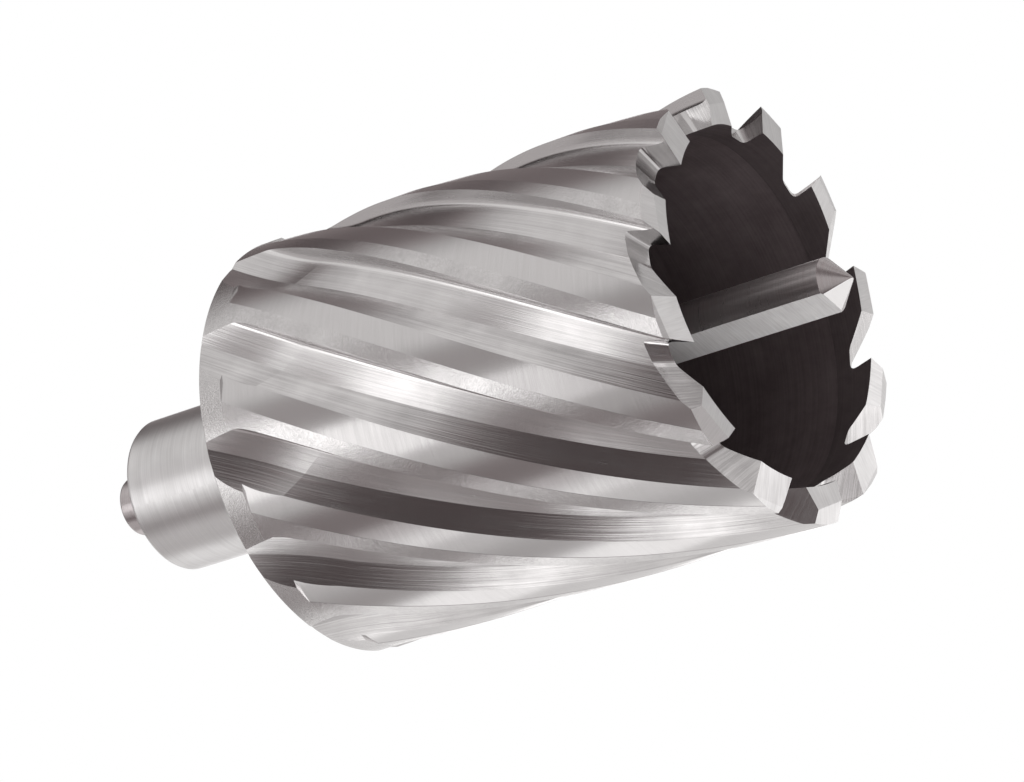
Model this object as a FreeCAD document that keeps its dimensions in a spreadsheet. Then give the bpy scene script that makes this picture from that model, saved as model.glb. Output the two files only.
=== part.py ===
import FreeCAD, Part
import os
import Sketcher

# Annular cutter. One steel piece is a deep cup with twelve cutting teeth round its mouth, a closed
# web and a flatted shank. A loose pilot pin slides through the shank and hangs by its head.
# The shank points up, the teeth point down, and the origin is on the axis at the shoulder, where
# the shank meets the cup. Heights below are measured from the tooth plane toward the shank.

# Driving sizes in millimetres and degrees
sizes = {
    # Overall sizes of the cup and the shank
    "cutting_radius": 25.4,  # half of the two inch cutting diameter
    "body_length": 61.83,  # shoulder to the tooth plane
    "wall_thickness": 4.4,  # cutting radius to the bore at the teeth
    "cup_depth": 52,  # tooth plane to the web, two inch depth of cut and a little more
    "bore_step_height": 4,  # height of the tighter band inside the mouth
    "bore_step": 0.15,  # how much wider the bore is above that band
    "cup_corner": 1.5,  # slanted corner between bore and web
    "rim_chamfer": 0.35,  # chamfer on the rear rim
    "shank_radius": 9.525,  # half of the three quarter inch shank
    "shank_length": 24.57,  # shoulder to the rear face
    "shank_chamfer": 0.45,  # broken edge of the rear face
    "tooth_stock": 1.35,  # stock ahead of the tooth plane for the tooth points
    # Shank flats for the set screws
    "screw_flat_distance": 8.2,  # axis to flat
    "screw_flat_length": 12,  # length of each flat along the shank
    "screw_flat_start": 7,  # shoulder to the near end of the flats
    "screw_flat_turn": 134.4,  # direction of the first flat
    "screw_flat_spread": 90,  # angle between the two flats
    # Teeth, lands and flutes
    "tooth_count": 12,  # teeth round the mouth
    "margin_share": 0.162,  # margin, over the pitch
    "land_share": 0.388,  # whole land, over the pitch
    "vee_share": 0.35,  # leading edge to the bottom line of the flute, over the pitch
    "helix_lead": 282.1,  # rise of the flutes in one full turn
    "relief_depth": 0.2,  # ground relief behind the margin
    "flute_depth": 2.04,  # depth at the foot of the leading wall
    "vee_depth": 1.9,  # depth at the bottom line
    "collar_length": 3.33,  # plain collar, shoulder down to the step that ends the relief
    "flute_clearance": 1.2,  # how far the grinding profile stands out of the metal
    "heel_spread": 1.55,  # reach of its heel side, over the angle from bottom line to heel
    # Run-out of the flutes at the rear rim
    "run_out_length": 11.83,  # shoulder down to where the straight rising pass takes over
    "run_out_tilt": 2.2,  # outward tilt of the rising pass
    "run_out_travel": 22,  # length of the rising pass
    # Gullets, cut outward through the wall between the teeth
    "gullet_depth": 3.5,  # floor above the tooth plane near the middle of the wall
    "gullet_rise": 0.6,  # rise of the floor for each millimetre outward
    "gullet_inset": 2.1,  # rim to the radius where the floor has that depth
    "gullet_back": 2.6,  # end of the floor ahead of the leading corner
    "gullet_back_slope": 0.504,  # fall of the back slope
    "face_rake_out": 0.25,  # lean of the tooth face for each millimetre of radius
    "face_rake_up": 0.3,  # lean of the tooth face for each millimetre of height
    "gullet_corner": 0.6,  # blend between tooth face and floor
    "gullet_overcut": 1.6,  # start of the cut inside the bore
    "gullet_breakout": 1.0,  # end of the cut outside the rim
    # End bevels of the teeth, alternately crested near the rim and at mid wall
    "end_relief": 7,  # clearance angle of the tooth ends
    "bevel_lead": 2.8,  # start of the end grinding ahead of the leading corner
    "bevel_travel": 9.3,  # length of the end grinding
    "outer_crest_inset": 0.7,  # rim to the crest on the teeth crested near the rim
    "outer_crest_height": 0.31,  # crest ahead of the outer corner on those teeth
    "outer_inner_slope": 0.14,  # further rise toward the bore on those teeth
    "middle_crest_inset": 2.1,  # rim to the crest on the teeth crested at mid wall
    "middle_crest_height": 0.7,  # crest ahead of the outer corner on those teeth
    "middle_inner_slope": 0.087,  # fall back toward the bore on those teeth
    # Pilot pin and its bore
    "pin_radius": 3.2,  # shaft of the pin
    "pin_clearance": 0.08,  # running clearance of the pin in its bore, on the radius
    "pin_head_radius": 3.7,  # head of the pin
    "pin_head_height": 6.1,  # head above the rear face of the shank
    "pin_head_chamfer": 0.35,  # broken edge of the head
    "pin_reach": 10.89,  # tip below the tooth plane
    "pin_cone": 2.79,  # height of the conical point
    "pin_tip_radius": 0.15,  # blunt tip
    "pin_flat_depth": 0.9,  # depth of the coolant flat
    "pin_flat_turn": -53,  # direction of the coolant flat
    "pin_flat_end": 14,  # end of the flat below the head
}

# Sizes that follow from them
follows = {
    "relief_length": "body_length - collar_length",  # tooth plane to the end of the relief
    "crease_height": "body_length - run_out_length",  # tooth plane to the crease on the bottom line
    "gullet_middle": "cutting_radius - gullet_inset",  # radius where the gullet depth is measured
    "pitch_angle": "360 / tooth_count",  # one tooth to the next
    "turn_per_mm": "360 / helix_lead",  # turn of the flutes for each millimetre of height
    "margin_angle": "pitch_angle * margin_share",  # full radius margin behind the leading edge
    "land_angle": "pitch_angle * land_share",  # whole land, leading edge to heel
    "vee_angle": "pitch_angle * vee_share",  # bottom line of the flute ahead of the leading edge
    "heel_angle": "pitch_angle - land_angle",  # heel of the next land ahead of the leading edge
    "crease_turn": "turn_per_mm * crease_height - vee_angle",  # bottom line at the crease
    "vee_radius": "cutting_radius - vee_depth",  # radius of the bottom line
    "lean": "atan(vee_radius * turn_per_mm * pi / 180)",  # helix angle on the bottom line
    "pass_axial": "cos(run_out_tilt) * cos(lean)",  # rising pass, share along the axis
    "pass_around": "cos(run_out_tilt) * sin(lean)",  # rising pass, share round the axis
    "pass_outward": "sin(run_out_tilt)",  # rising pass, share outward
    "gullet_inner": "cutting_radius - wall_thickness - gullet_overcut",  # inner section of the gullet cut
    "gullet_outer": "cutting_radius + gullet_breakout",  # outer section of the gullet cut
    "gullet_reach": "cutting_radius * sin(pitch_angle)",  # length of the back slope section
    "pin_bore_radius": "pin_radius + pin_clearance",  # bore through the shank and the web
}

doc = FreeCAD.newDocument("annular_cutter")
sheet = doc.addObject("Spreadsheet::Sheet", "sizes")
used_rows = []
for alias, value in list(sizes.items()) + list(follows.items()):
    used_rows.append(alias)
    row = len(used_rows)
    sheet.set(f"A{row}", alias)
    sheet.set(f"B{row}", f"={value}" if alias in follows else str(value))
    sheet.setAlias(f"B{row}", alias)
doc.recompute()


def plane(body, role):
    """Origin plane or axis of a body, found by its role."""
    return next(o for o in body.Origin.OriginFeatures if o.Role == role)


def named(text):
    """Expression text with the sheet's name put before each alias."""
    for alias in sorted(used_rows, key=len, reverse=True):
        text = text.replace("[" + alias + "]", "sizes." + alias)
    return text


def sketch_on(body, name, support):
    """Empty sketch lying on a plane."""
    sketch = body.newObject("Sketcher::SketchObject", name)
    sketch.AttachmentSupport = [(support, "")]
    sketch.MapMode = "FlatFace"
    return sketch


def amount(sketch, text):
    """Present value of an expression as a plain number."""
    value = sketch.evalExpression(text)
    return float(getattr(value, "Value", value))


def outline(sketch, corners):
    """Closed outline with each corner bound to its two expressions."""
    doc.recompute()
    texts = [(named(x), named(y)) for x, y in corners]
    points = [FreeCAD.Vector(amount(sketch, x), amount(sketch, y), 0) for x, y in texts]
    count = len(points)
    for i in range(count):
        sketch.addGeometry(Part.LineSegment(points[i], points[(i + 1) % count]))
    for i in range(count):
        sketch.addConstraint(Sketcher.Constraint("Coincident", i, 2, (i + 1) % count, 1))
    for i, (x, y) in enumerate(texts):
        c = sketch.addConstraint(Sketcher.Constraint("DistanceX", -1, 1, i, 1, points[i].x))
        sketch.setExpression(f"Constraints[{c}]", x)
        c = sketch.addConstraint(Sketcher.Constraint("DistanceY", -1, 1, i, 1, points[i].y))
        sketch.setExpression(f"Constraints[{c}]", y)
    doc.recompute()


def polar(radius, angle):
    """Corner at a radius and an angle about the origin."""
    return f"({radius}) * cos({angle})", f"({radius}) * sin({angle})"


def across(radius, angle):
    """Corner of the flute section, seen square to the flute, at an angle from its bottom line."""
    flat = f"({radius}) * cos(({angle}) * cos([lean])^2)"
    return flat, f"({radius}) * ({angle}) * pi / 180 * cos([lean])"


def revolved(body, name, sketch, kind="PartDesign::Revolution"):
    """Full turn of a sketch about its upright axis."""
    turn = body.newObject(kind, name)
    turn.Profile = sketch
    turn.ReferenceAxis = (sketch, ["V_Axis"])
    turn.Angle = 360
    sketch.Visibility = False
    doc.recompute()
    return turn


def pocket(body, name, sketch, length, direction=None, reverse=False):
    """Cut a sketch through a length, straight or along a given direction."""
    cut = body.newObject("PartDesign::Pocket", name)
    cut.Profile = sketch
    cut.Type = "Length"
    cut.Length = 1
    cut.setExpression("Length", named(length))
    if direction:
        cut.UseCustomVector = True
        cut.AlongSketchNormal = False
        for axis, text in zip("xyz", direction):
            cut.setExpression("Direction." + axis, named(text))
    cut.Reversed = reverse
    sketch.Visibility = False
    cut.Refine = False
    doc.recompute()
    return cut


def helix_cut(body, name, sketch, height, reverse=False):
    """Cut a sketch along the helix of the flutes."""
    cut = body.newObject("PartDesign::SubtractiveHelix", name)
    cut.Profile = sketch
    cut.ReferenceAxis = (plane(body, "Z_Axis"), [""])
    cut.Mode = "pitch-height-angle"
    cut.setExpression("Pitch", named("[helix_lead]"))
    cut.setExpression("Height", named(height))
    cut.LeftHanded = False
    cut.Reversed = reverse
    sketch.Visibility = False
    cut.Refine = False
    doc.recompute()
    return cut


def pattern(body, name, features, count, spread="360"):
    """Repeat features about the axis."""
    ring = body.newObject("PartDesign::PolarPattern", name)
    ring.Originals = features
    ring.Axis = (plane(body, "Z_Axis"), [""])
    ring.setExpression("Angle", named(spread))
    ring.setExpression("Occurrences", named(count))
    body.Tip = ring
    ring.Refine = False
    doc.recompute()
    return ring


# Blank of the cutter: shank, shoulder, cup, web and the bore for the pin
cutter = doc.addObject("PartDesign::Body", "cutter_body")
cutter.Label = "cutter_body"
blank_section = sketch_on(cutter, "blank_section", plane(cutter, "XZ_Plane"))
outline(blank_section, [
    ("[cutting_radius] - [wall_thickness]", "-[body_length] - [tooth_stock]"),
    ("[cutting_radius]", "-[body_length] - [tooth_stock]"),
    ("[cutting_radius]", "-[rim_chamfer]"),
    ("[cutting_radius] - [rim_chamfer]", "0"),
    ("[shank_radius]", "0"),
    ("[shank_radius]", "[shank_length] - [shank_chamfer]"),
    ("[shank_radius] - [shank_chamfer]", "[shank_length]"),
    ("[pin_bore_radius]", "[shank_length]"),
    ("[pin_bore_radius]", "[cup_depth] - [body_length]"),
    ("[cutting_radius] - [wall_thickness] + [bore_step] - [cup_corner]", "[cup_depth] - [body_length]"),
    ("[cutting_radius] - [wall_thickness] + [bore_step]", "[cup_depth] - [body_length] - [cup_corner]"),
    ("[cutting_radius] - [wall_thickness] + [bore_step]", "[bore_step_height] - [body_length]"),
    ("[cutting_radius] - [wall_thickness]", "[bore_step_height] - [body_length]"),
])
revolved(cutter, "blank", blank_section)

# Two flats on the shank for the set screws of the holder
flat_section = sketch_on(cutter, "screw_flat_section", plane(cutter, "XY_Plane"))
flat_section.setExpression("AttachmentOffset.Base.z", named("[screw_flat_start]"))
flat_section.AttachmentOffset = FreeCAD.Placement(FreeCAD.Vector(0, 0, 1), FreeCAD.Rotation(10, 0, 0))
flat_section.setExpression("AttachmentOffset.Rotation.Angle", named("[screw_flat_turn]"))
outline(flat_section, [
    ("[screw_flat_distance]", "-[shank_radius]"),
    ("[shank_radius] + 1", "-[shank_radius]"),
    ("[shank_radius] + 1", "[shank_radius]"),
    ("[screw_flat_distance]", "[shank_radius]"),
])
screw_flat = pocket(cutter, "screw_flat", flat_section, "[screw_flat_length]", reverse=True)
pattern(cutter, "screw_flats", [screw_flat], "2", "[screw_flat_spread]")

# Relief strip behind the margin of the first land
relief_section = sketch_on(cutter, "relief_section", plane(cutter, "XY_Plane"))
relief_section.setExpression("AttachmentOffset.Base.z", named("-[body_length] - [tooth_stock] - 1"))
relief_start = "[margin_angle] - [turn_per_mm] * ([tooth_stock] + 1)"
relief_finish = "[land_angle] + 1 - [turn_per_mm] * ([tooth_stock] + 1)"
relief_floor = "[cutting_radius] - [relief_depth]"
outline(relief_section, [
    polar(relief_floor, relief_start),
    polar("[cutting_radius] + [flute_clearance]", relief_start),
    polar("[cutting_radius] + [flute_clearance]", relief_finish),
    polar(relief_floor, relief_finish),
    polar(relief_floor, f"({relief_start}) / 3 + ({relief_finish}) * 2 / 3"),
    polar(relief_floor, f"({relief_start}) * 2 / 3 + ({relief_finish}) / 3"),
])
relief = helix_cut(cutter, "relief", relief_section, "[relief_length] + [tooth_stock] + 1")

# Flute ahead of the first leading edge, its section square to it at the crease
crease = cutter.newObject("PartDesign::Plane", "crease_plane")
crease.AttachmentSupport = [(plane(cutter, "XY_Plane"), "")]
crease.MapMode = "FlatFace"
crease.AttachmentOffset = FreeCAD.Placement(FreeCAD.Vector(0, 0, 1), FreeCAD.Rotation(10, 0, 0))
crease.setExpression("AttachmentOffset.Base.z", named("[crease_height] - [body_length]"))
crease.setExpression("AttachmentOffset.Rotation.Angle", named("[crease_turn]"))
crease.Visibility = False
doc.recompute()
flute_section = sketch_on(cutter, "flute_section", crease)
flute_section.AttachmentOffset = FreeCAD.Placement(
    FreeCAD.Vector(0, 0, 0), FreeCAD.Rotation(FreeCAD.Vector(-1, 0, 0), 20))
flute_section.setExpression("AttachmentOffset.Rotation.Angle", named("[lean]"))
flute_outside = "[cutting_radius] + [flute_clearance]"
outline(flute_section, [
    across("[cutting_radius] - [vee_depth]", "0"),
    across(flute_outside, "-([heel_angle] - [vee_angle]) * [heel_spread]"),
    across(flute_outside, "[vee_angle] + 0.3"),
    across("[cutting_radius] - [flute_depth] + 0.6", "[vee_angle] - 0.4"),
    across("[cutting_radius] - [flute_depth] + 0.16", "[vee_angle] - 0.95"),
    across("[cutting_radius] - [flute_depth]", "[vee_angle] - 2.1"),
])
flute = helix_cut(cutter, "flute", flute_section, "[crease_height] + [tooth_stock] + 4", reverse=True)

# Straight rising pass that runs the flute out at the rear rim
run_out = pocket(cutter, "run_out", flute_section, "[run_out_travel]", direction=(
    "[pass_outward] * cos([crease_turn]) - [pass_around] * sin([crease_turn])",
    "[pass_outward] * sin([crease_turn]) + [pass_around] * cos([crease_turn])",
    "[pass_axial]"))

# Gullet ahead of the first tooth, a loft from inside the bore to outside the rim
tooth_plane = "-[body_length]"


def gullet_outline(sketch, radius):
    """Section of the gullet at one distance from the axis."""
    floor = f"([gullet_depth] + [gullet_rise] * ({radius} - [gullet_middle]))"
    face = f"([face_rake_out] * ({radius} - [cutting_radius]))"
    below = f"({floor} - [gullet_corner])"
    low = "([tooth_stock] + 4.5)"
    end_fall = "([gullet_back_slope] * ([gullet_reach] - [gullet_back]))"
    outline(sketch, [
        (f"{face} - [face_rake_up] * {low}", f"{tooth_plane} - {low}"),
        (f"{face} + [face_rake_up] * {below}", f"{tooth_plane} + {below}"),
        (f"{face} + [face_rake_up] * {floor} - [gullet_corner]", f"{tooth_plane} + {floor}"),
        ("-[gullet_back]", f"{tooth_plane} + {floor}"),
        ("-[gullet_reach]", f"{tooth_plane} + {floor} - {end_fall}"),
        ("-[gullet_reach]", f"{tooth_plane} - {low}"),
    ])


gullet_sections = []
for side in ("inner", "outer"):
    section = sketch_on(cutter, f"gullet_{side}_section", plane(cutter, "YZ_Plane"))
    section.setExpression("AttachmentOffset.Base.z", named(f"[gullet_{side}]"))
    gullet_outline(section, f"[gullet_{side}]")
    section.Visibility = False
    gullet_sections.append(section)
gullet = cutter.newObject("PartDesign::SubtractiveLoft", "gullet")
gullet.Profile = gullet_sections[0]
gullet.Sections = [gullet_sections[1]]
gullet.Ruled = True
gullet.Refine = False
doc.recompute()

pattern(cutter, "tooth_pattern", [relief, flute, run_out, gullet], "[tooth_count]")


def end_bevel(name, turn, inset, crest, inner_slope):
    """Grinding of one tooth end, with its crest at a given distance from the rim."""
    datum = cutter.newObject("PartDesign::Plane", name + "_plane")
    datum.AttachmentSupport = [(plane(cutter, "XY_Plane"), "")]
    datum.MapMode = "FlatFace"
    datum.AttachmentOffset = FreeCAD.Placement(FreeCAD.Vector(0, 0, 0), FreeCAD.Rotation(10, 0, 0))
    datum.setExpression("AttachmentOffset.Rotation.Angle", named(turn))
    datum.Visibility = False
    doc.recompute()
    sketch = sketch_on(cutter, name + "_section", datum)
    sketch.AttachmentOffset = FreeCAD.Placement(
        FreeCAD.Vector(0, 0, 0), FreeCAD.Rotation(FreeCAD.Vector(1, 0, 0), 90))
    sketch.setExpression("AttachmentOffset.Base.y", named("-[bevel_lead]"))
    drop = f"{tooth_plane} - [bevel_lead] * tan([end_relief])"
    inside = "([cutting_radius] - [wall_thickness] - 1)"
    outside = "([cutting_radius] + [flute_clearance])"
    outline(sketch, [
        (inside, f"{drop} - {crest} {inner_slope} * ([wall_thickness] + 1 - {inset})"),
        (f"[cutting_radius] - {inset}", f"{drop} - {crest}"),
        (outside, f"{drop} + {crest} / {inset} * [flute_clearance]"),
        (outside, f"{drop} - 6"),
        (inside, f"{drop} - 6"),
    ])
    return pocket(cutter, name, sketch, "[bevel_travel]", direction=(
        f"-cos([end_relief]) * sin({turn})",
        f"cos([end_relief]) * cos({turn})",
        "sin([end_relief])"))


# Tooth ends crested near the rim, every second tooth
rim_bevel = end_bevel("rim_bevel", "0", "[outer_crest_inset]", "[outer_crest_height]",
                      "- [outer_inner_slope]")
pattern(cutter, "rim_bevels", [rim_bevel], "[tooth_count] / 2")

# Tooth ends crested at mid wall, the teeth between them
middle_bevel = end_bevel("middle_bevel", "[pitch_angle]", "[middle_crest_inset]",
                         "[middle_crest_height]", "+ [middle_inner_slope]")
pattern(cutter, "middle_bevels", [middle_bevel], "[tooth_count] / 2")

# Pilot pin: head, shaft and conical point turned about the axis
pin = doc.addObject("PartDesign::Body", "pilot_pin")
pin.Label = "pilot_pin"
pin_section = sketch_on(pin, "pin_section", plane(pin, "XZ_Plane"))
pin_tip = "-[body_length] - [pin_reach]"
outline(pin_section, [
    ("0", pin_tip),
    ("[pin_tip_radius]", pin_tip),
    ("[pin_radius]", f"{pin_tip} + [pin_cone]"),
    ("[pin_radius]", "[shank_length]"),
    ("[pin_head_radius]", "[shank_length]"),
    ("[pin_head_radius]", "[shank_length] + [pin_head_height] - [pin_head_chamfer]"),
    ("[pin_head_radius] - [pin_head_chamfer]", "[shank_length] + [pin_head_height]"),
    ("0", "[shank_length] + [pin_head_height]"),
])
revolved(pin, "pin_blank", pin_section)

# Long flat down one side of the pin, open at the point
coolant_section = sketch_on(pin, "coolant_flat_section", plane(pin, "XY_Plane"))
coolant_section.AttachmentOffset = FreeCAD.Placement(FreeCAD.Vector(0, 0, 0), FreeCAD.Rotation(10, 0, 0))
coolant_section.setExpression("AttachmentOffset.Base.z", named(f"{pin_tip} - 1"))
coolant_section.setExpression("AttachmentOffset.Rotation.Angle", named("[pin_flat_turn]"))
outline(coolant_section, [
    ("[pin_radius] - [pin_flat_depth]", "-[pin_radius]"),
    ("[pin_radius] + 1", "-[pin_radius]"),
    ("[pin_radius] + 1", "[pin_radius]"),
    ("[pin_radius] - [pin_flat_depth]", "[pin_radius]"),
])
flat_length = "[shank_length] + [body_length] + [pin_reach] - [pin_flat_end] + 1"
coolant_flat = pocket(pin, "coolant_flat", coolant_section, flat_length, reverse=True)
pin.Tip = coolant_flat

# Placement of both pieces in the shared frame
for piece in (cutter, pin):
    piece.Placement = FreeCAD.Placement(FreeCAD.Vector(0, 0, 0), FreeCAD.Rotation(0, 0, 0))

doc.recompute()
for item in doc.Objects:
    if "Invalid" in item.State or "Error" in item.State:
        raise RuntimeError(f"{item.Label} did not rebuild: {item.State}")
os.makedirs("parts", exist_ok=True)
for piece in (cutter, pin):
    if piece.Shape.isNull() or not piece.Shape.isValid():
        raise RuntimeError(f"{piece.Label} is not a valid solid")
    piece.Shape.exportStep(f"parts/{piece.Label}.step")
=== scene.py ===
import math

import bmesh
import bpy
from bpy.props import FloatProperty, FloatVectorProperty, IntProperty, PointerProperty
from mathutils import Matrix, Vector


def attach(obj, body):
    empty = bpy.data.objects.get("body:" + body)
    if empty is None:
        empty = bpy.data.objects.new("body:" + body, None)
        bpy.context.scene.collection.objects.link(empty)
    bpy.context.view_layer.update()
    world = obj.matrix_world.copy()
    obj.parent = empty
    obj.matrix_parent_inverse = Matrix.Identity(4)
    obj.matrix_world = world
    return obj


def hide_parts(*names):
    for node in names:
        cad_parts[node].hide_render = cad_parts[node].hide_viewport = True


bl_info = {
    "name": "Annular cutter",
    "version": (1, 0, 0),
    "blender": (4, 5, 0),
    "location": "3D View > Sidebar > Cutter",
    "description": "Ground steel annular cutter with its sliding pilot pin and a plain studio stage",
    "category": "Object",
}

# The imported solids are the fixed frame. All places below are in it, in metres, +Z from teeth to shank.
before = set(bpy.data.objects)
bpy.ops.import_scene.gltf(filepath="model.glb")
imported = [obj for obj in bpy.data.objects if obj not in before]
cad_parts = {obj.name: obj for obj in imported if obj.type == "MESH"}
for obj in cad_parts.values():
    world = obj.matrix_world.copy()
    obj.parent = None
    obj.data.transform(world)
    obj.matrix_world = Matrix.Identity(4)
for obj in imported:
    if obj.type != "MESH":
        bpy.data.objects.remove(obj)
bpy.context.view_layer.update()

MM = 0.001
MICRON = 1e-6
DEGREE = math.pi / 180

# UV map in metres whose first axis follows the grinding lines
GRAIN = "grain"
# Number of each face: its smooth patch times PATCH, plus the place of its finish among those given
FACET = "facet"
PATCH = 10
FINISHES_IN_PASS = 3
# Edges below these angles shade smooth: the first where two patches meet, the second within a patch
SMOOTH_ACROSS = 0.6 * DEGREE
SMOOTH_WITHIN = 28 * DEGREE

# How far a grinding pass or a milling cutter runs past the steel
PAST = 1 * MM
# Steps of the curved passes and segments of the turned blanks, fine enough that none shows
RELIEF_ROWS, RELIEF_STEPS = 76, 8
FLUTE_ROWS, RUN_OUT_ROWS, FLUTE_STEPS, FLOOR_STEPS = 72, 16, 8, 6
GULLET_ROWS, GULLET_STEPS, GULLET_BACK_STEPS = 4, 5, 4
BODY_SEGMENTS, PIN_SEGMENTS = 360, 128


def linear(hex_text):
    """Linear colour of an sRGB hex value such as c8c4c0."""
    parts = [int(hex_text[i:i + 2], 16) / 255 for i in (0, 2, 4)]
    return tuple(p / 12.92 if p <= 0.04045 else ((p + 0.055) / 1.055) ** 2.4 for p in parts)


def length(name, description, millimetres):
    """Size property in metres with its default given in millimetres."""
    return FloatProperty(name=name, description=description, default=millimetres * MM,
                         unit="LENGTH", subtype="DISTANCE", precision=5)


def angle(name, description, degrees):
    """Angle property with its default given in degrees."""
    return FloatProperty(name=name, description=description, default=degrees * DEGREE,
                         unit="ROTATION", subtype="ANGLE")


def colour(name, description, hex_text):
    """Colour property with its default given as an sRGB hex value."""
    return FloatVectorProperty(name=name, description=description, default=linear(hex_text),
                               subtype="COLOR", size=3, min=0, max=1)


def share(name, description, default):
    """Plain number: a share, or a slope as rise by run."""
    return FloatProperty(name=name, description=description, default=default)


class CutterSizes(bpy.types.PropertyGroup):
    """Sizes of the toothed cup and its shank"""

    cutting_radius: length("Cutting radius", "Axis to the leading edges", 25.4)
    body_length: length("Body length", "Shoulder to the tooth plane", 61.83)
    wall: length("Wall", "Cutting radius to the bore at the teeth", 4.4)
    cup_depth: length("Cup depth", "Tooth plane to the web", 52)
    band_height: length("Mouth band", "Height of the tighter band inside the mouth", 4)
    band_step: length("Bore step", "How much wider the bore is above that band", 0.15)
    cup_corner: length("Cup corner", "Slanted corner between bore and web", 1.5)
    rim_chamfer: length("Rim chamfer", "Chamfer on the rear rim", 0.35)
    shank_radius: length("Shank radius", "Half of the shank's diameter", 9.525)
    shank_length: length("Shank length", "Shoulder to the rear face", 24.57)
    shank_chamfer: length("Shank chamfer", "Broken edge of the rear face", 0.45)
    pin_bore: length("Pin bore", "Radius of the bore that guides the pin", 3.28)
    tooth_stock: length("Tooth stock", "Stock ahead of the tooth plane", 1.35)
    flat_distance: length("Flat distance", "Axis to each set-screw flat", 8.2)
    flat_length: length("Flat length", "Length of each set-screw flat", 12)
    flat_start: length("Flat start", "Shoulder to the near end of the flats", 7)
    flat_turn: angle("Flat direction", "Direction of the first set-screw flat", 134.4)


class FluteSizes(bpy.types.PropertyGroup):
    """Sizes of the teeth, lands, flutes and gullets"""

    teeth: IntProperty(name="Teeth", description="Number of teeth", default=12, min=4, max=24)
    lead: length("Lead", "Rise of a flute in one full turn", 282.1)
    margin: share("Margin", "Leading edge to the relief, as a share of the pitch", 0.162)
    land: share("Land", "Leading edge to the heel, as a share of the pitch", 0.388)
    vee: share("Bottom line", "Bottom line to the leading edge after it, as a share of the pitch", 0.35)
    relief_depth: length("Relief depth", "Relief right behind the margin", 0.03)
    relief_slope: angle("Relief slope", "Fall of the relief toward the heel", 6.5)
    relief_end: length("Collar", "Shoulder down to the end of the relief", 3.33)
    flute_depth: length("Flute depth", "Depth at the foot of the leading wall", 1.74)
    vee_depth: length("Bottom depth", "Depth at the bottom line", 2.08)
    foot_blend: length("Foot blend", "Blend between leading wall and floor", 0.75)
    clear: length("Clearance", "How far the grinding profile stands out", 1.2)
    heel_spread: share("Heel spread", "Reach of the heel side, by its angle at the heel", 1.55)
    crease_shear: share("Crease shear", "Lean of the crease by width", -0.58)
    run_out: length("Run-out", "Shoulder down to the crease of the flutes", 10.9)
    wheel_radius: length("Wheel radius", "Radius of the wheel that leaves the run-out of a flute", 50)
    run_out_dip: angle("Run-out dip", "Slope at which the wheel still goes down at the crease", 3.0)
    run_out_travel: length("Run-out travel", "Length of the wheel's round past the crease", 22)
    gullet_depth: length("Gullet depth", "Floor above the tooth plane", 3.4)
    gullet_inset: length("Gullet inset", "Rim to where that depth is measured", 2.1)
    gullet_rise: share("Gullet rise", "Rise of the floor outward", 0.52)
    gullet_back: length("Gullet floor", "End of the floor ahead of the leading corner", 2.4)
    gullet_narrow: share("Gullet narrowing", "How much shorter the floor gets outward", 0.3)
    gullet_slope: share("Back slope", "Fall of the back slope", 0.56)
    gullet_corner: length("Gullet corner", "Blend between tooth face and floor", 0.9)
    gullet_round: length("Gullet back round", "Blend between floor and back slope", 0.5)
    rake_out: share("Face lean out", "Lean of the tooth face by radius", 0.25)
    rake_up: share("Face lean up", "Lean of the tooth face by height", 0.3)
    end_relief: angle("End relief", "Clearance angle of the tooth ends", 7)
    bevel_lead: length("Bevel lead", "Start of the end grinding ahead of the leading corner", 2.8)
    bevel_travel: length("Bevel travel", "Length of the end grinding", 9.3)
    rim_inset: length("Rim crest", "Rim to the crest of every other tooth", 0.7)
    rim_crest: length("Rim crest height", "How far that crest stands past the rim", 0.31)
    rim_slope: share("Rim crest slope", "Fall from that crest to the bore, or rise if negative", -0.14)
    middle_inset: length("Middle crest", "Rim to the crest of the teeth between", 2.1)
    middle_crest: length("Middle crest height", "How far that crest stands past the rim", 0.7)
    middle_slope: share("Middle crest slope", "Fall from that crest to the bore", 0.087)


class PinSizes(bpy.types.PropertyGroup):
    """Sizes of the pilot pin"""

    radius: length("Shaft radius", "Half of the shaft's diameter", 3.2)
    head_radius: length("Head radius", "Half of the head's diameter", 3.7)
    head_height: length("Head height", "Head above the shank", 6.1)
    head_chamfer: length("Head chamfer", "Broken edge of the head", 0.35)
    reach: length("Reach", "Tip below the tooth plane", 10.89)
    cone: length("Point", "Height of the conical point", 2.79)
    tip: length("Blunt tip", "Radius of the blunt tip", 0.15)
    flat_depth: length("Flat depth", "Depth of the coolant flat", 0.9)
    flat_end: length("Flat end", "End of the flat below the head", 14)
    facet: length("Point facet", "Height of the facet between flat and tip", 2.6)
    flat_turn: angle("Flat direction", "Direction of the coolant flat", -53)


class CutterColours(bpy.types.PropertyGroup):
    """Colours of the steel, of its oxide and of the studio"""

    bright: colour("Bright steel", "Freshly ground steel", "dad8d8")
    grey: colour("Grey steel", "Steel between the grinding lines", "aeacac")
    light: colour("Light steel", "Lightest steel, where it is satin ground or milled", "f0efef")
    # Brown grey of the pin: a painted reflection of the brown bore, not a colour of the steel
    rubbed: colour("Rubbed steel", "Pin steel browned by handling", "9c8f90")
    oxide: colour("Oxide", "Heat-treatment scale inside the cup", "5e5355")
    oxide_light: colour("Worn oxide", "Scale rubbed thin", "7a6f71")
    floor: colour("Floor", "Studio floor", "eeeeec")
    room_lit: colour("Lit room", "Walls of the studio in full light", "fffdfc")
    room_dim: colour("Dim room", "Unlit stretches of those walls", "ffe4e5")


GROUPS = {"cutter_sizes": CutterSizes, "flute_sizes": FluteSizes,
          "pin_sizes": PinSizes, "cutter_colours": CutterColours}


def sizes():
    """The four property groups of the scene."""
    return tuple(getattr(bpy.context.scene, name) for name in GROUPS)


# Node and mesh helpers


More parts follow.
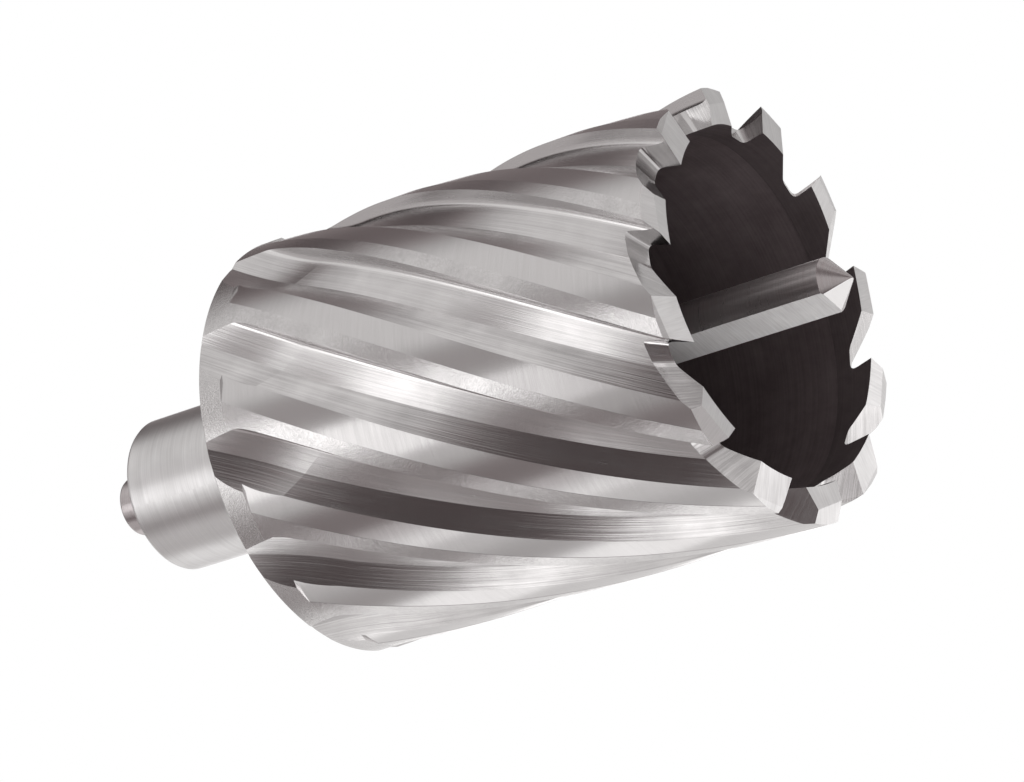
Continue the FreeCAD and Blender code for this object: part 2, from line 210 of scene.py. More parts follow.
def add(tree, kind, inputs=None, **settings):
    """Add a node, set its settings, and give each named input a value or a link."""
    made = tree.nodes.new(kind)
    for name, value in settings.items():
        setattr(made, name, value)
    for name, value in (inputs or {}).items():
        socket = made.inputs[name]
        if isinstance(value, bpy.types.NodeSocket):
            tree.links.new(value, socket)
        else:
            socket.default_value = value
    return made


def emptied(owner):
    """Node tree of a new material or world, without the nodes that it starts with."""
    owner.use_nodes = True
    owner.node_tree.nodes.clear()
    return owner.node_tree


def new_object(name, vertices, faces, grain=None, facets=None, materials=()):
    """Mesh object at the origin with its grain map, facet numbers and materials."""
    mesh = bpy.data.meshes.new(name)
    mesh.from_pydata([tuple(v) for v in vertices], [], faces)
    for material in materials:
        mesh.materials.append(material)
    if grain:
        layer = mesh.uv_layers.new(name=GRAIN)
        for spot, place in zip(layer.data, (p for face in grain for p in face)):
            spot.uv = place
    if facets:
        attribute = mesh.attributes.new(FACET, "INT", "FACE")
        attribute.data.foreach_set("value", facets)
        mesh.polygons.foreach_set("material_index", [f % PATCH if materials else 0 for f in facets])
    made = bpy.data.objects.new(name, mesh)
    bpy.context.scene.collection.objects.link(made)
    return made


def outward(piece, merge=0.0):
    """Merge doubled vertices and turn all faces outward."""
    work = bmesh.new()
    work.from_mesh(piece.data)
    if merge:
        bmesh.ops.remove_doubles(work, verts=work.verts, dist=merge)
    bmesh.ops.recalc_face_normals(work, faces=work.faces)
    work.to_mesh(piece.data)
    work.free()


def blend(start, corner, stop, steps):
    """Points of a round from start to stop that leans toward a corner."""
    shares = [i / steps for i in range(steps + 1)]
    return [start * (1 - t) ** 2 + corner * 2 * t * (1 - t) + stop * t ** 2 for t in shares]


def swept(name, rows, facets, lines_along=True, crease=None):
    """Closed solid through rows of points. facets numbers the strip after each point of a row.

    The grinding lines follow the sweep from row to row, or each row if lines_along is false. From a
    crease row on, the strips are in new patches."""
    count = len(rows[0])
    vertices = [point for row in rows for point in row]
    down = [0.0]
    for before, after in zip(rows, rows[1:]):
        down.append(down[-1] + (Vector(after[0]) - Vector(before[0])).length)
    across = [0.0]
    middle = rows[len(rows) // 2]
    for j in range(count):
        across.append(across[-1] + (Vector(middle[(j + 1) % count]) - Vector(middle[j])).length)
    faces, grain, numbers = [], [], []
    for i in range(len(rows) - 1):
        for j in range(count):
            a, b = i * count + j, i * count + (j + 1) % count
            faces.append((a, b, b + count, a + count))
            corners = [(down[i], across[j]), (down[i], across[j + 1]),
                       (down[i + 1], across[j + 1]), (down[i + 1], across[j])]
            grain.append(corners if lines_along else [(v, u) for u, v in corners])
            new_patch = facets[j] % PATCH + 1 if crease and i >= crease else 0
            numbers.append(facets[j] + PATCH * new_patch)
    last = (len(rows) - 1) * count
    faces += [tuple(reversed(range(count))), tuple(last + j for j in range(count))]
    for end in (list(reversed(rows[0])), rows[-1]):
        grain.append([(p[0], p[2]) for p in end])
        numbers.append(0)
    made = new_object(name, vertices, faces, grain, numbers)
    outward(made)
    return made


def swept_across(name, section, half_width, facet):
    """Straight pass of a four-cornered (x, z) section from side to side of a piece, along Y."""
    rows = [[(x, y, z) for x, z in section] for y in (-half_width, half_width)]
    return swept(name, rows, [facet] * len(section))


def turned(name, outline, materials, segments, closed=False):
    """Solid of revolution. The outline gives each (radius, height) with the number of the strip after it."""
    points = [point for point, _ in outline]
    count = len(points)
    travel = [0.0]
    for j in range(count):
        step = Vector(points[(j + 1) % count]) - Vector(points[j])
        travel.append(travel[-1] + step.length)
    vertices, faces, grain, numbers = [], [], [], []
    for i in range(segments):
        turn = 2 * math.pi * i / segments
        vertices += [(r * math.cos(turn), r * math.sin(turn), z) for r, z in points]
    for i in range(segments):
        near, far = i * count, (i + 1) % segments * count
        for j in range(count if closed else count - 1):
            after = (j + 1) % count
            faces.append((near + j, far + j, far + after, near + after))
            reach = (points[j][0] + points[after][0]) / 2 * 2 * math.pi / segments
            grain.append([(reach * i, travel[j]), (reach * (i + 1), travel[j]),
                          (reach * (i + 1), travel[j + 1]), (reach * i, travel[j + 1])])
            numbers.append(outline[j][1])
    made = new_object(name, vertices, faces, grain, numbers, materials)
    outward(made, merge=0.1 * MICRON)
    return made


def plain_mesh(piece):
    """Turn the evaluated shape of a piece into its own plain mesh, without its modifiers."""
    graph = bpy.context.evaluated_depsgraph_get()
    mesh = bpy.data.meshes.new_from_object(piece.evaluated_get(graph))
    piece.modifiers.clear()
    piece.data = mesh


def ring_tree(name):
    """Geometry nodes that repeat a grinding pass about the axis and give its facets their finishes."""
    tree = bpy.data.node_groups.new(name, "GeometryNodeTree")
    wanted = {"Pass": "Geometry", "Count": "Int", "First": "Float", "Step": "Float"}
    wanted.update({f"Finish {i}": "Material" for i in range(FINISHES_IN_PASS)})
    for socket, kind in wanted.items():
        tree.interface.new_socket(socket, in_out="INPUT", socket_type=f"NodeSocket{kind}")
    tree.interface.new_socket("Ring", in_out="OUTPUT", socket_type="NodeSocketGeometry")
    given = add(tree, "NodeGroupInput").outputs
    points = add(tree, "GeometryNodePoints", {"Count": given["Count"]})
    index = add(tree, "GeometryNodeInputIndex")
    turn = add(tree, "ShaderNodeMath", {0: index.outputs[0], 1: given["Step"], 2: given["First"]},
               operation="MULTIPLY_ADD")
    about = add(tree, "ShaderNodeCombineXYZ", {"Z": turn.outputs[0]})
    copies = add(tree, "GeometryNodeInstanceOnPoints", {
        "Points": points.outputs[0], "Instance": given["Pass"], "Rotation": about.outputs[0]})
    flow = add(tree, "GeometryNodeRealizeInstances", {"Geometry": copies.outputs[0]}).outputs[0]
    facet = add(tree, "GeometryNodeInputNamedAttribute", {"Name": FACET}, data_type="INT").outputs[0]
    finish = add(tree, "FunctionNodeIntegerMath", {0: facet, 1: PATCH}, operation="MODULO")
    for i in range(FINISHES_IN_PASS):
        same = add(tree, "FunctionNodeCompare", {2: finish.outputs[0], 3: i},
                   data_type="INT", operation="EQUAL")
        flow = add(tree, "GeometryNodeSetMaterial", {
            "Geometry": flow, "Selection": same.outputs[0], "Material": given[f"Finish {i}"]}).outputs[0]
    add(tree, "NodeGroupOutput", {"Ring": flow})
    return tree


def ringed(piece, finishes_given, count, step, first=0.0):
    """Repeat a grinding pass about the axis and keep the result as a plain mesh."""
    tree = bpy.data.node_groups.get("ring_of_passes") or ring_tree("ring_of_passes")
    modifier = piece.modifiers.new("ring", "NODES")
    modifier.node_group = tree
    values = {"Count": count, "First": first, "Step": step}
    last = len(finishes_given) - 1
    values.update({f"Finish {i}": finishes_given[min(i, last)] for i in range(FINISHES_IN_PASS)})
    for item in tree.interface.items_tree:
        if item.in_out == "INPUT" and item.name in values:
            modifier[item.identifier] = values[item.name]
    plain_mesh(piece)
    return piece


def cut(piece, tool):
    """Subtract a tool from a piece, keep the tool's finishes on the new faces, delete the tool."""
    modifier = piece.modifiers.new("cut", "BOOLEAN")
    modifier.operation = "DIFFERENCE"
    modifier.object = tool
    modifier.solver = "MANIFOLD"
    modifier.material_mode = "TRANSFER"
    before = len(piece.data.polygons)
    plain_mesh(piece)
    bpy.data.objects.remove(tool)
    if len(piece.data.polygons) <= before // 2:
        raise RuntimeError(f"{piece.name} lost its faces in a cut")


def softened(piece):
    """Smooth shading within each patch, with sharp edges where two patches meet at an angle."""
    piece.data.shade_smooth()
    work = bmesh.new()
    work.from_mesh(piece.data)
    facet = work.faces.layers.int[FACET]
    for edge in work.edges:
        sides = edge.link_faces
        same_patch = sides[0][facet] // PATCH == sides[-1][facet] // PATCH
        edge.smooth = edge.calc_face_angle(0) < (SMOOTH_WITHIN if same_patch else SMOOTH_ACROSS)
    work.to_mesh(piece.data)
    work.free()


# Materials


def grain_coordinates(tree, place, run, line):
    """Coordinates for lines along the grain map: run and line are sizes in millimetres."""
    grain = add(tree, "ShaderNodeUVMap", uv_map=GRAIN)
    parts = add(tree, "ShaderNodeSeparateXYZ", {0: grain.outputs[0]})
    # Changes with the place on the piece, so no two flutes have the same lines
    lane_by_metre = (35.0, 59.5, 35.0)
    lane = add(tree, "ShaderNodeVectorMath", {0: place, 1: lane_by_metre}, operation="DOT_PRODUCT")
    u = add(tree, "ShaderNodeMath", {0: parts.outputs[0], 1: 1 / (run * MM)}, operation="MULTIPLY")
    v = add(tree, "ShaderNodeMath", {0: parts.outputs[1], 1: 1 / (line * MM)}, operation="MULTIPLY")
    joined = add(tree, "ShaderNodeCombineXYZ", {0: u.outputs[0], 1: v.outputs[0], 2: lane.outputs["Value"]})
    return joined.outputs[0]


def ground_steel(name, bright, grey, roughness, run, line, depth, contrast, anisotropy=0.4, streaks=0.5):
    """Ground steel: fine lines along the grain, broader streaks, and slow blotches of polish.

    roughness is a pair for polished and dull spots. run and line are how long and how wide the lines are,
    in millimetres. Real grinding lines are a few hundredths wide, too fine to show, so they are drawn
    several times coarser. depth is their depth in micrometres, streaks the weight of the broad streaks."""
    # Length and width of the broad streaks against the fine lines, and size and weight of the blotches
    longer, broader, blotch, blotches = 3, 4.0, 4.0 * MM, 0.7
    material = bpy.data.materials.new(name)
    tree = emptied(material)
    place = add(tree, "ShaderNodeTexCoord").outputs["Object"]
    fine = add(tree, "ShaderNodeTexNoise", {
        "Vector": grain_coordinates(tree, place, run, line), "Scale": 1.0, "Detail": 2.0, "Roughness": 0.6})
    broad = add(tree, "ShaderNodeTexNoise", {
        "Vector": grain_coordinates(tree, place, run * longer, line * broader), "Scale": 1.0, "Detail": 2.0})
    slow = add(tree, "ShaderNodeTexNoise", {"Vector": place, "Scale": 1 / blotch, "Detail": 2.0})
    lines = add(tree, "ShaderNodeMath", {0: broad.outputs[0], 1: streaks, 2: fine.outputs[0]},
                operation="MULTIPLY_ADD")
    mixed = add(tree, "ShaderNodeMath", {0: slow.outputs[0], 1: blotches, 2: lines.outputs[0]},
                operation="MULTIPLY_ADD")
    # Each noise lies round a half, so their sum lies round this, and within these reaches of it counts
    middle = 0.5 * (1 + streaks + blotches)
    tint_reach, gloss_reach = 0.4 / contrast, 0.35
    level = add(tree, "ShaderNodeMapRange", {
        "Value": mixed.outputs[0], "From Min": middle - tint_reach, "From Max": middle + tint_reach})
    tint = add(tree, "ShaderNodeMix", {
        "Factor": level.outputs[0], "A": (*grey, 1), "B": (*bright, 1)}, data_type="RGBA")
    gloss = add(tree, "ShaderNodeMapRange", {
        "Value": mixed.outputs[0], "From Min": middle - gloss_reach, "From Max": middle + gloss_reach,
        "To Min": roughness[1], "To Max": roughness[0]})
    # Broad streaks are shallow for their width, so they count for half of it in the bump
    relief = add(tree, "ShaderNodeMath", {0: broad.outputs[0], 1: streaks * broader / 2, 2: fine.outputs[0]},
                 operation="MULTIPLY_ADD")
    bump = add(tree, "ShaderNodeBump", {
        "Height": relief.outputs[0], "Strength": 1.0, "Distance": depth * MICRON})
    # The quarter turn draws each highlight out across the lines, as on brushed metal
    along = add(tree, "ShaderNodeTangent", direction_type="UV_MAP", uv_map=GRAIN)
    shader = add(tree, "ShaderNodeBsdfPrincipled", {
        "Metallic": 1.0, "Anisotropic": anisotropy, "Anisotropic Rotation": 0.25,
        "Base Color": tint.outputs["Result"], "Roughness": gloss.outputs[0],
        "Normal": bump.outputs[0], "Tangent": along.outputs[0]})
    add(tree, "ShaderNodeOutputMaterial", {"Surface": shader.outputs[0]})
    return material


def oxide_scale(name, dark, light):
    """Heat-treatment scale on turned steel: matt brown black with faint turning rings and rubbed spots."""
    # Length and width of the turning marks in millimetres, their weight, and the size of the rubbed spots
    ring_run, ring_line, rings, spot = 60, 0.25, 0.4, 6.25 * MM
    material = bpy.data.materials.new(name)
    tree = emptied(material)
    place = add(tree, "ShaderNodeTexCoord").outputs["Object"]
    ring = add(tree, "ShaderNodeTexNoise", {
        "Vector": grain_coordinates(tree, place, ring_run, ring_line), "Scale": 1.0, "Detail": 2.0})
    spots = add(tree, "ShaderNodeTexNoise", {
        "Vector": place, "Scale": 1 / spot, "Detail": 5.0, "Roughness": 0.65})
    both = add(tree, "ShaderNodeMath", {0: ring.outputs[0], 1: rings, 2: spots.outputs[0]},
               operation="MULTIPLY_ADD")
    level = add(tree, "ShaderNodeMapRange", {"Value": both.outputs[0], "From Min": 0.5, "From Max": 0.95})
    tint = add(tree, "ShaderNodeMix", {
        "Factor": level.outputs[0], "A": (*dark, 1), "B": (*light, 1)}, data_type="RGBA")
    gloss = add(tree, "ShaderNodeMapRange", {
        "Value": both.outputs[0], "From Min": 0.45, "From Max": 1.0, "To Min": 0.62, "To Max": 0.42})
    bump = add(tree, "ShaderNodeBump", {"Height": both.outputs[0], "Strength": 1.0, "Distance": 4 * MICRON})
    shader = add(tree, "ShaderNodeBsdfPrincipled", {
        "Metallic": 0.35, "Base Color": tint.outputs["Result"],
        "Roughness": gloss.outputs[0], "Normal": bump.outputs[0]})
    add(tree, "ShaderNodeOutputMaterial", {"Surface": shader.outputs[0]})
    return material


def finishes():
    """All finishes by name, made once. Hardened high speed steel, each face as it was ground or turned."""
    if "hss_margin" in bpy.data.materials:
        return bpy.data.materials
    _, _, _, c = sizes()
    bright, grey, light, rubbed = tuple(c.bright), tuple(c.grey), tuple(c.light), tuple(c.rubbed)
    band_shade = 0.7
    made = [
        # Margin, circular ground and peened by handling: a sparkle of small dents, no lines
        ground_steel("hss_margin", bright, grey, (0.16, 0.26), run=0.16, line=0.14, depth=16,
                     contrast=0.7, anisotropy=0.0, streaks=0.3),
        # Relief strip, fine ground round the cutter: even and bright, with hardly a line
        ground_steel("hss_relief", bright, grey, (0.17, 0.22), run=5, line=0.20, depth=1, contrast=0.14),
        # Flute floor, form ground along the flute: fine lines with plain contrast
        ground_steel("hss_floor", bright, grey, (0.18, 0.28), run=40, line=0.20, depth=12, contrast=0.6),
        # Heel facet, ground along the flute with a coarser wheel: strong streaks
        ground_steel("hss_heel", bright, grey, (0.16, 0.28), run=40, line=0.22, depth=22, contrast=0.9,
                     anisotropy=0.7),
        # Leading wall and its foot, polished by the wheel's side: clear and even
        ground_steel("hss_wall", bright, bright, (0.20, 0.30), run=20, line=0.20, depth=4, contrast=0.3,
                     anisotropy=0.0),
        # Plain collar, circular ground like the margin: the same sparkle, a little duller
        ground_steel("hss_collar", bright, grey, (0.22, 0.32), run=0.18, line=0.15, depth=16,
                     contrast=0.7, anisotropy=0.0, streaks=0.3),
        # Gullets and tooth faces, ground outward through the wall: coarse short lines
        ground_steel("hss_gullet", bright, grey, (0.16, 0.28), run=8, line=0.22, depth=9, contrast=0.8),
        # Tooth ends, fine ground: light and satin
        ground_steel("hss_end", light, grey, (0.28, 0.38), run=3, line=0.20, depth=4, contrast=0.3),
        # Shank, ground round and round: light satin
        ground_steel("hss_shank", light, grey, (0.32, 0.42), run=14, line=0.16, depth=5, contrast=0.3,
                     anisotropy=0.6),
        # Shoulder and rear face, turned, and set-screw flats, milled: satin with faint lines
        ground_steel("hss_face", bright, grey, (0.28, 0.42), run=30, line=0.20, depth=6, contrast=0.4),
        # Hardening scale left inside the cup: matt brown black, and darker on the tighter band in the mouth
        oxide_scale("hss_scale", tuple(c.oxide), tuple(c.oxide_light)),
        oxide_scale("hss_band", [band_shade * v for v in c.oxide], [band_shade * v for v in c.oxide_light]),
        # Pin, centreless ground, its steel mixed with painted brown that stands for the brown bore it
        # reflects: long highlights along it
        ground_steel("pin_ground", bright, rubbed, (0.26, 0.34), run=8, line=0.16, depth=3, contrast=0.4,
                     anisotropy=0.93),
        # Coolant flat of the pin, milled, with strong cross lines: its pale colour, paler than steel, is
        # painted light for what it catches through the mouth
        ground_steel("pin_flat", light, bright, (0.62, 0.78), run=4, line=0.22, depth=20, contrast=1.4,
                     anisotropy=0.9, streaks=0.3),
        # Small facet at the point, ground by hand: bright
        ground_steel("pin_facet", light, bright, (0.3, 0.4), run=3, line=0.16, depth=4, contrast=0.3),
        # Conical point of the pin, turned: grey rings mixed with the same painted brown reflection of the
        # bore
        ground_steel("pin_point", grey, rubbed, (0.2, 0.3), run=6, line=0.16, depth=6, contrast=0.4),
    ]
    return {m.name: m for m in made}


# Passes that grind the cutter


def about_axis(radius, degrees, height):
    """Point at a radius, an angle in degrees and a height."""
    return radius * math.cos(degrees * DEGREE), radius * math.sin(degrees * DEGREE), height


def helix_facts():
    """Pitch in degrees, turn in degrees per metre, and radius, lean and height of the flutes' bottom line.

    The height is that of its crease above the tooth plane."""
    s, f, _, _ = sizes()
    pitch = 360 / f.teeth
    turn = 360 / f.lead
    vee_radius = s.cutting_radius - f.vee_depth
    lean = math.atan(vee_radius * turn * DEGREE)
    crease = s.body_length - f.run_out
    return pitch, turn, vee_radius, lean, crease


def relief_pass():
    """Relief strip behind one margin, ground round the cutter and past the heel."""
    s, f, _, _ = sizes()
    pitch, turn, _, _, _ = helix_facts()
    inner, outer = s.cutting_radius - f.relief_depth, s.cutting_radius + f.clear
    low, high = -s.tooth_stock - PAST, s.body_length - f.relief_end
    degrees_past = 1
    start, stop = pitch * f.margin, pitch * f.land + degrees_past
    fall = s.cutting_radius * (stop - start) * DEGREE * math.tan(f.relief_slope)
    corners = [(inner - fall * j / RELIEF_STEPS, start + (stop - start) * j / RELIEF_STEPS)
               for j in range(RELIEF_STEPS + 1)]
    corners += [(outer, stop), (outer, start)]
    rows = []
    for i in range(RELIEF_ROWS + 1):
        height = low + (high - low) * i / RELIEF_ROWS
        rows.append([about_axis(radius, degrees + turn * height, height - s.body_length)
                     for radius, degrees in corners])
    return swept("relief_pass", rows, [10] * len(corners), lines_along=False)


def flute_profile():
    """Section of the flute square to it: corners with the facet number of the side after each."""
    s, f, _, _ = sizes()
    pitch, _, vee_radius, lean, _ = helix_facts()
    vee, heel = pitch * f.vee, pitch * (1 - f.land)
    foot, outer = s.cutting_radius - f.flute_depth, s.cutting_radius + f.clear
    # Leading wall in degrees past the leading edge: its top, its end, and corner and end of its foot
    wall_top, wall_end, foot_corner, foot_end = 0.3, -0.4, -0.62, -2.1
    corner_lift = 0.02 * MM

    def flat(radius, degrees):
        turned_by, narrowed = degrees * DEGREE, math.cos(lean)
        return Vector((radius * math.cos(turned_by * narrowed ** 2), radius * turned_by * narrowed))

    bottom, heel_out = flat(vee_radius, 0), flat(outer, -(heel - vee) * f.heel_spread)
    wall_out, wall_in = flat(outer, vee + wall_top), flat(foot + f.foot_blend, vee + wall_end)
    corner, floor_in = flat(foot + corner_lift, vee + foot_corner), flat(foot, vee + foot_end)
    foot_round = blend(wall_in, corner, floor_in, FLUTE_STEPS)
    sides = [(bottom.lerp(heel_out, i / FLUTE_STEPS), 21) for i in range(FLUTE_STEPS)]
    sides += [(point, 22) for point in (heel_out, wall_out, wall_out.lerp(wall_in, 0.5), *foot_round[:-1])]
    sides += [(foot_round[-1], 20)]
    sides += [(floor_in.lerp(bottom, i / FLOOR_STEPS), 20) for i in range(1, FLOOR_STEPS)]
    return sides


def flute_pass():
    """One flute: a helical pass up to the crease, then the round of the wheel out to the rear rim."""
    s, f, _, _ = sizes()
    pitch, turn, _, lean, crease = helix_facts()
    sides = flute_profile()
    first = turn * crease - pitch * f.vee
    # The end of the pass leans, so it starts this far below the stock to clear it
    below = 4 * MM

    def placed(point, shift):
        spot = Vector((point.x, point.y * math.cos(lean), -point.y * math.sin(lean)))
        spot.rotate(Matrix.Rotation((first + turn * shift) * DEGREE, 3, "Z"))
        return spot + Vector((0, 0, crease + shift - s.body_length))

    depth = crease + s.tooth_stock + below
    rows = [[placed(p, f.crease_shear * p.y - depth * (1 - i / FLUTE_ROWS)) for p, _ in sides]
            for i in range(FLUTE_ROWS + 1)]
    at_crease = rows[-1]
    wheel_lean = math.atan(s.cutting_radius * turn * DEGREE)
    for i in range(1, RUN_OUT_ROWS + 1):
        reach = f.run_out_travel * i / RUN_OUT_ROWS
        rise = reach ** 2 / (2 * f.wheel_radius) - reach * math.tan(f.run_out_dip)
        onward = Vector((rise, reach * math.sin(wheel_lean), reach * math.cos(wheel_lean)))
        onward.rotate(Matrix.Rotation(first * DEGREE, 3, "Z"))
        rows.append([p + onward for p in at_crease])
    return swept("flute_pass", rows, [number for _, number in sides], crease=FLUTE_ROWS)


def gullet_pass():
    """One gullet, ground outward through the wall ahead of a tooth."""
    s, f, _, _ = sizes()
    pitch = 360 / f.teeth
    # How far the pass goes below the stock and past the bore
    below, past_bore = 4.5 * MM, 1.6 * MM
    low = s.tooth_stock + below
    reach = s.cutting_radius * math.sin(pitch * DEGREE)

    def section(radius):
        outward_by = radius - s.cutting_radius + f.gullet_inset
        floor = f.gullet_depth + f.gullet_rise * outward_by
        floor_end = f.gullet_back - f.gullet_narrow * outward_by
        face = f.rake_out * (radius - s.cutting_radius)

        def on_face(height, back=0.0):
            return Vector((face + f.rake_up * height - back, height))

        start, stop = on_face(floor - f.gullet_corner), on_face(floor, f.gullet_corner)
        back = Vector((-floor_end, floor))
        slope_end = Vector((-reach, floor - f.gullet_slope * (reach - floor_end)))
        ahead = back + Vector((f.gullet_round, 0))
        after = back.lerp(slope_end, f.gullet_round / (back - slope_end).length)
        points = [on_face(-low)]
        points += blend(start, on_face(floor), stop, GULLET_STEPS)
        points += blend(ahead, back, after, GULLET_BACK_STEPS)
        points += [slope_end, Vector((-reach, -low))]
        return [(radius, p.x, p.y - s.body_length) for p in points]

    inner, outer = s.cutting_radius - s.wall - past_bore, s.cutting_radius + PAST
    rows = [section(inner + (outer - inner) * i / GULLET_ROWS) for i in range(GULLET_ROWS + 1)]
    return swept("gullet_pass", rows, [60] * len(rows[0]))


def end_pass(inset, crest, inner_slope):
    """Grinding of one tooth end, whose crest stands past the rim at an inset from it."""
    s, f, _, _ = sizes()
    below = 6 * MM
    rim = -s.body_length - f.bevel_lead * math.tan(f.end_relief)
    inside, outside = s.cutting_radius - s.wall - PAST, s.cutting_radius + f.clear
    profile = [
        (inside, rim - crest + inner_slope * (s.wall + PAST - inset)),
        (s.cutting_radius - inset, rim - crest),
        (outside, rim + crest / inset * f.clear),
        (outside, rim - below),
        (inside, rim - below),
    ]
    onward = Vector((0, math.cos(f.end_relief), math.sin(f.end_relief))) * f.bevel_travel
    near = [Vector((x, -f.bevel_lead, z)) for x, z in profile]
    return swept("end_pass", [near, [p + onward for p in near]], [70, 80, 90, 90, 90], lines_along=False)


def screw_flat_pass():
    """One set-screw flat, milled across the shank."""
    s, _, _, _ = sizes()
    low, high = s.flat_start, s.flat_start + s.flat_length
    outer = s.shank_radius + PAST
    section = [(s.flat_distance, low), (s.flat_distance, high), (outer, high), (outer, low)]
    return swept_across("screw_flat_pass", section, s.shank_radius, 100)


def coolant_flat_pass():
    """Flat along the pin from below the head to the tip."""
    s, _, p, _ = sizes()
    near, far = p.radius - p.flat_depth, p.radius + PAST
    low, high = -s.body_length - p.reach - PAST, s.shank_length - p.flat_end
    section = [(near, low), (near, high), (far, high), (far, low)]
    return swept_across("coolant_flat_pass", section, p.radius, 110)


def point_facet_pass():
    """Facet of the pin's point, from the end of the coolant flat to the tip."""
    s, _, p, _ = sizes()
    tip = Vector((0, -s.body_length - p.reach))
    slope = Vector((p.radius - p.flat_depth, p.facet)).normalized()
    pass_size = 6 * MM
    foot, head = tip - slope * PAST, tip + slope * pass_size
    away = Vector((slope.y, -slope.x)) * pass_size
    return swept_across("point_facet_pass", [foot, head, head + away, foot + away], p.radius, 120)


class CUTTER_OT_body(bpy.types.Operator):
    """Make the toothed cup and its shank by grinding a turned blank"""

    bl_idname = "cutter.body"
    bl_label = "Cutter body"

    def execute(self, context):
        s, f, _, _ = sizes()
        have = finishes()
        bore = s.cutting_radius - s.wall
        web = s.cup_depth - s.body_length
        stock = -s.body_length - s.tooth_stock
        # Place of the middle of the shank's broken edge
        edge_in, edge_down = 0.35 * s.shank_chamfer, 0.3 * s.shank_chamfer
        outline = [
            ((bore, stock), 200),
            ((s.cutting_radius, stock), 210),
            ((s.cutting_radius, -f.relief_end), 211),
            ((s.cutting_radius, -s.rim_chamfer), 221),
            ((s.cutting_radius - s.rim_chamfer, 0), 232),
            ((s.shank_radius, 0), 243),
            ((s.shank_radius, s.shank_length - s.shank_chamfer), 253),
            ((s.shank_radius - edge_in, s.shank_length - edge_down), 253),
            ((s.shank_radius - s.shank_chamfer, s.shank_length), 262),
            ((s.pin_bore, s.shank_length), 274),
            ((s.pin_bore, web), 284),
            ((bore + s.band_step - s.cup_corner, web), 294),
            ((bore + s.band_step, web - s.cup_corner), 304),
            ((bore + s.band_step, s.band_height - s.body_length), 314),
            ((bore, s.band_height - s.body_length), 325),
        ]
        names = ("hss_margin", "hss_collar", "hss_face", "hss_shank", "hss_scale", "hss_band")
        body = turned("cutter_body_ground", outline, [have[n] for n in names], BODY_SEGMENTS, closed=True)
        round_step = 2 * math.pi / f.teeth
        flute_finishes = [have[n] for n in ("hss_floor", "hss_heel", "hss_wall")]
        cut(body, ringed(screw_flat_pass(), [have["hss_face"]], 2, math.pi / 2, s.flat_turn))
        cut(body, ringed(relief_pass(), [have["hss_relief"]], f.teeth, round_step))
        cut(body, ringed(flute_pass(), flute_finishes, f.teeth, round_step))
        cut(body, ringed(gullet_pass(), [have["hss_gullet"]], f.teeth, round_step))
        crests = ((f.rim_inset, f.rim_crest, f.rim_slope), (f.middle_inset, f.middle_crest, f.middle_slope))
        for i, crest in enumerate(crests):
            ends = ringed(end_pass(*crest), [have["hss_end"]], f.teeth // 2, 2 * round_step, i * round_step)
            cut(body, ends)
        softened(body)
        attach(body, "cutter")
        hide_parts("cutter_body")
        return {"FINISHED"}


class CUTTER_OT_pin(bpy.types.Operator):
    """Make the pilot pin with its head, coolant flat and point"""

    bl_idname = "cutter.pin"
    bl_label = "Pilot pin"

    def execute(self, context):
        s, _, p, _ = sizes()
        have = finishes()
        tip = -s.body_length - p.reach
        top = s.shank_length + p.head_height
        # Place of the middle of the head's broken edge
        edge = 0.3 * p.head_chamfer
        outline = [
            ((0, tip), 201),
            ((p.tip, tip), 211),
            ((p.radius, tip + p.cone), 220),
            ((p.radius, s.shank_length), 230),
            ((p.head_radius, s.shank_length), 240),
            ((p.head_radius, top - p.head_chamfer), 250),
            ((p.head_radius - edge, top - edge), 250),
            ((p.head_radius - p.head_chamfer, top), 260),
            ((0, top), 260),
        ]
        pin = turned("pilot_pin_ground", outline, [have["pin_ground"], have["pin_point"]], PIN_SEGMENTS)
        cut(pin, ringed(coolant_flat_pass(), [have["pin_flat"]], 1, 0.0, p.flat_turn))
        cut(pin, ringed(point_facet_pass(), [have["pin_facet"]], 1, 0.0, p.flat_turn))
        softened(pin)
        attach(pin, "pin")
        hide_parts("pilot_pin")
        return {"FINISHED"}


# Stage


def direction(azimuth, elevation):
    """Unit vector toward an azimuth and an elevation in degrees."""
    return Vector(about_axis(math.cos(elevation * DEGREE), azimuth, math.sin(elevation * DEGREE)))


def soft_box(name, azimuth, elevation, width, height, level):
    """Soft box in a direction from the middle of the cup, which it faces.

    level is the brightness of its face, where 1 is white paper in full light."""
    distance, middle_of_cup = 0.9, Vector((0, 0, -0.03))
    data = bpy.data.lights.new(name, "AREA")
    data.shape = "RECTANGLE"
    data.size, data.size_y = width, height
    data.energy = level * math.pi * width * height
    lamp = bpy.data.objects.new(name, data)
    away = direction(azimuth, elevation)
    lamp.location = away * distance + middle_of_cup
    lamp.rotation_euler = away.to_track_quat("Z", "Y").to_euler()
    bpy.context.scene.collection.objects.link(lamp)


def studio_lamps():
    """The soft boxes. Each puts its light on the faces that mirror its stretch of the room."""
    # Azimuth and elevation in degrees, width and height in metres, level
    boxes = {
        "key_box": (9, 34, 0.34, 0.40, 0.92),
        "brow_box": (34, 47, 0.34, 0.2, 0.9),
        "right_box": (-45, 26, 0.26, 0.2, 0.5),
        "far_box": (-103, 27, 0.4, 0.25, 0.55),
        "top_box": (-8, 51, 0.5, 0.28, 0.9),
        "pin_box": (-72, -32, 0.4, 0.4, 3.2),
        "tooth_box": (-148, -14, 0.2, 0.2, 0.85),
        "low_box": (-58, 3, 0.40, 0.28, 0.9),
        "back_box": (-176, 32, 0.5, 0.4, 0.75),
        "side_box": (152, 12, 0.3, 0.3, 1.0),
        "front_box": (-8, -31, 0.35, 0.25, 1.0),
        "under_box": (-145, -48, 0.75, 0.55, 0.75),
    }
    for name, box in boxes.items():
        soft_box(name, *box)


